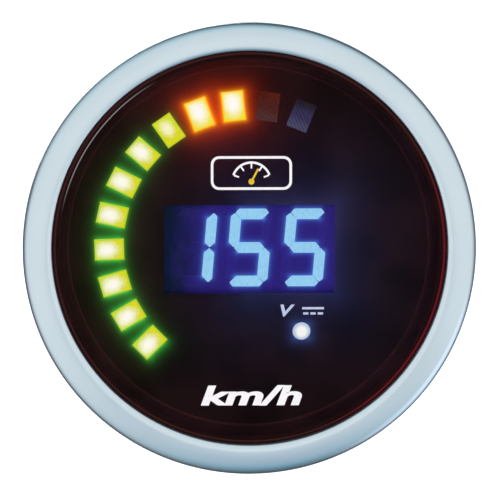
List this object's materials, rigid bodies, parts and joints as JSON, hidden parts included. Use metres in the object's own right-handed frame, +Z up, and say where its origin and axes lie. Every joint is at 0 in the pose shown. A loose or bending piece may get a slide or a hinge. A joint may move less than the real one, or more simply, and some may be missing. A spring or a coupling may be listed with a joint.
{
  "type": "round dashboard gauge",
  "caption": "Round digital dashboard gauge with a lit bar arc and seven-segment display, clamped in a panel hole by a bracket and two nuts.",
  "frame": {"origin": "on the gauge's axis, in the plane where its gasket seats on the dash panel", "axes": "+Y along the axis from the face to the rear, +Z up the dial, +X to the reader's right"},
  "size_m": [0.06, 0.063, 0.06],
  "materials": {
    "bezel_silver": "satin",
    "smoked_lens": "polished",
    "dial_black": "matte",
    "black_plastic": "fine moulded texture",
    "black_rubber": "matte",
    "white_plastic": "matte",
    "bar_green": "diffusing, lit green-yellow",
    "bar_amber": "diffusing, lit amber",
    "bar_unlit": "diffusing, unlit",
    "digit_blue": "diffusing, lit light blue",
    "violet_filter": "tinted",
    "lamp_white": "diffusing, lit white",
    "led_chip": "clear resin over phosphor",
    "chip_black": "matte",
    "board_green": "solder mask",
    "can_silver": "drawn",
    "zinc_steel": "bright zinc plating",
    "pin_brass": "bright",
    "nut_brass": "knurled"
  },
  "bodies": {
    "gauge": {"bezel_ring": "bezel_silver", "lens": "smoked_lens", "lens_seal": "black_rubber", "spacer_ring": "black_plastic", "panel_gasket": "black_rubber", "housing_cup": "black_plastic", "dial_mask": "dial_black", "display_filter": "violet_filter", "indicator_light_pipe": "lamp_white", "light_tunnel": "white_plastic", "display_module": "chip_black", "digit_hundreds": "digit_blue", "digit_tens": "digit_blue", "digit_units": "digit_blue", "display_board": "board_green", "control_board": "board_green", "indicator_led": "led_chip", "display_driver": "chip_black", "board_header": "black_plastic", "microcontroller": "chip_black", "filter_capacitor": "can_silver", "voltage_regulator": "chip_black", "rear_cover": "black_plastic", "power_socket": "black_plastic", "power_pins": "pin_brass", "sensor_socket": "black_plastic", "sensor_pins": "pin_brass", "stud_left": "zinc_steel", "stud_right": "zinc_steel", "bar_window_01": "bar_green", "bar_window_02": "bar_green", "bar_window_03": "bar_green", "bar_window_04": "bar_green", "bar_window_05": "bar_green", "bar_window_06": "bar_green", "bar_window_07": "bar_green", "bar_window_08": "bar_green", "bar_window_09": "bar_amber", "bar_window_10": "bar_amber", "bar_window_11": "bar_unlit", "bar_window_12": "bar_unlit", "bar_led_01": "led_chip", "bar_led_02": "led_chip", "bar_led_03": "led_chip", "bar_led_04": "led_chip", "bar_led_05": "led_chip", "bar_led_06": "led_chip", "bar_led_07": "led_chip", "bar_led_08": "led_chip", "bar_led_09": "led_chip", "bar_led_10": "led_chip", "bar_led_11": "led_chip", "bar_led_12": "led_chip", "cover_screw_01": "zinc_steel", "cover_screw_02": "zinc_steel", "cover_screw_03": "zinc_steel", "cover_screw_04": "zinc_steel"},
    "bracket": {"mounting_bracket": "zinc_steel"},
    "nut_left": {"nut_left": "nut_brass"},
    "nut_right": {"nut_right": "nut_brass"}
  },
  "joints": [
    {"name": "nut_left_turn", "type": "hinge", "parent": "bracket", "child": "nut_left", "pos_m": [-0.016, 0.0381, 0], "axis": [0, 1, 0], "range_deg": [-2571.6, 3600.2]},
    {"name": "nut_right_turn", "type": "hinge", "parent": "bracket", "child": "nut_right", "pos_m": [0.016, 0.0381, 0], "axis": [0, 1, 0], "range_deg": [-2571.6, 3600.2]},
    {"name": "bracket_slide", "type": "slide", "parent": "gauge", "child": "bracket", "axis": [0, 1, 0], "range_m": [-0.005, 0.007]}
  ],
  "couplings": [
    {"joint": "nut_left_turn", "follows": "bracket_slide", "rad_per_m": 8976},
    {"joint": "nut_right_turn", "follows": "bracket_slide", "rad_per_m": 8976}
  ]
}
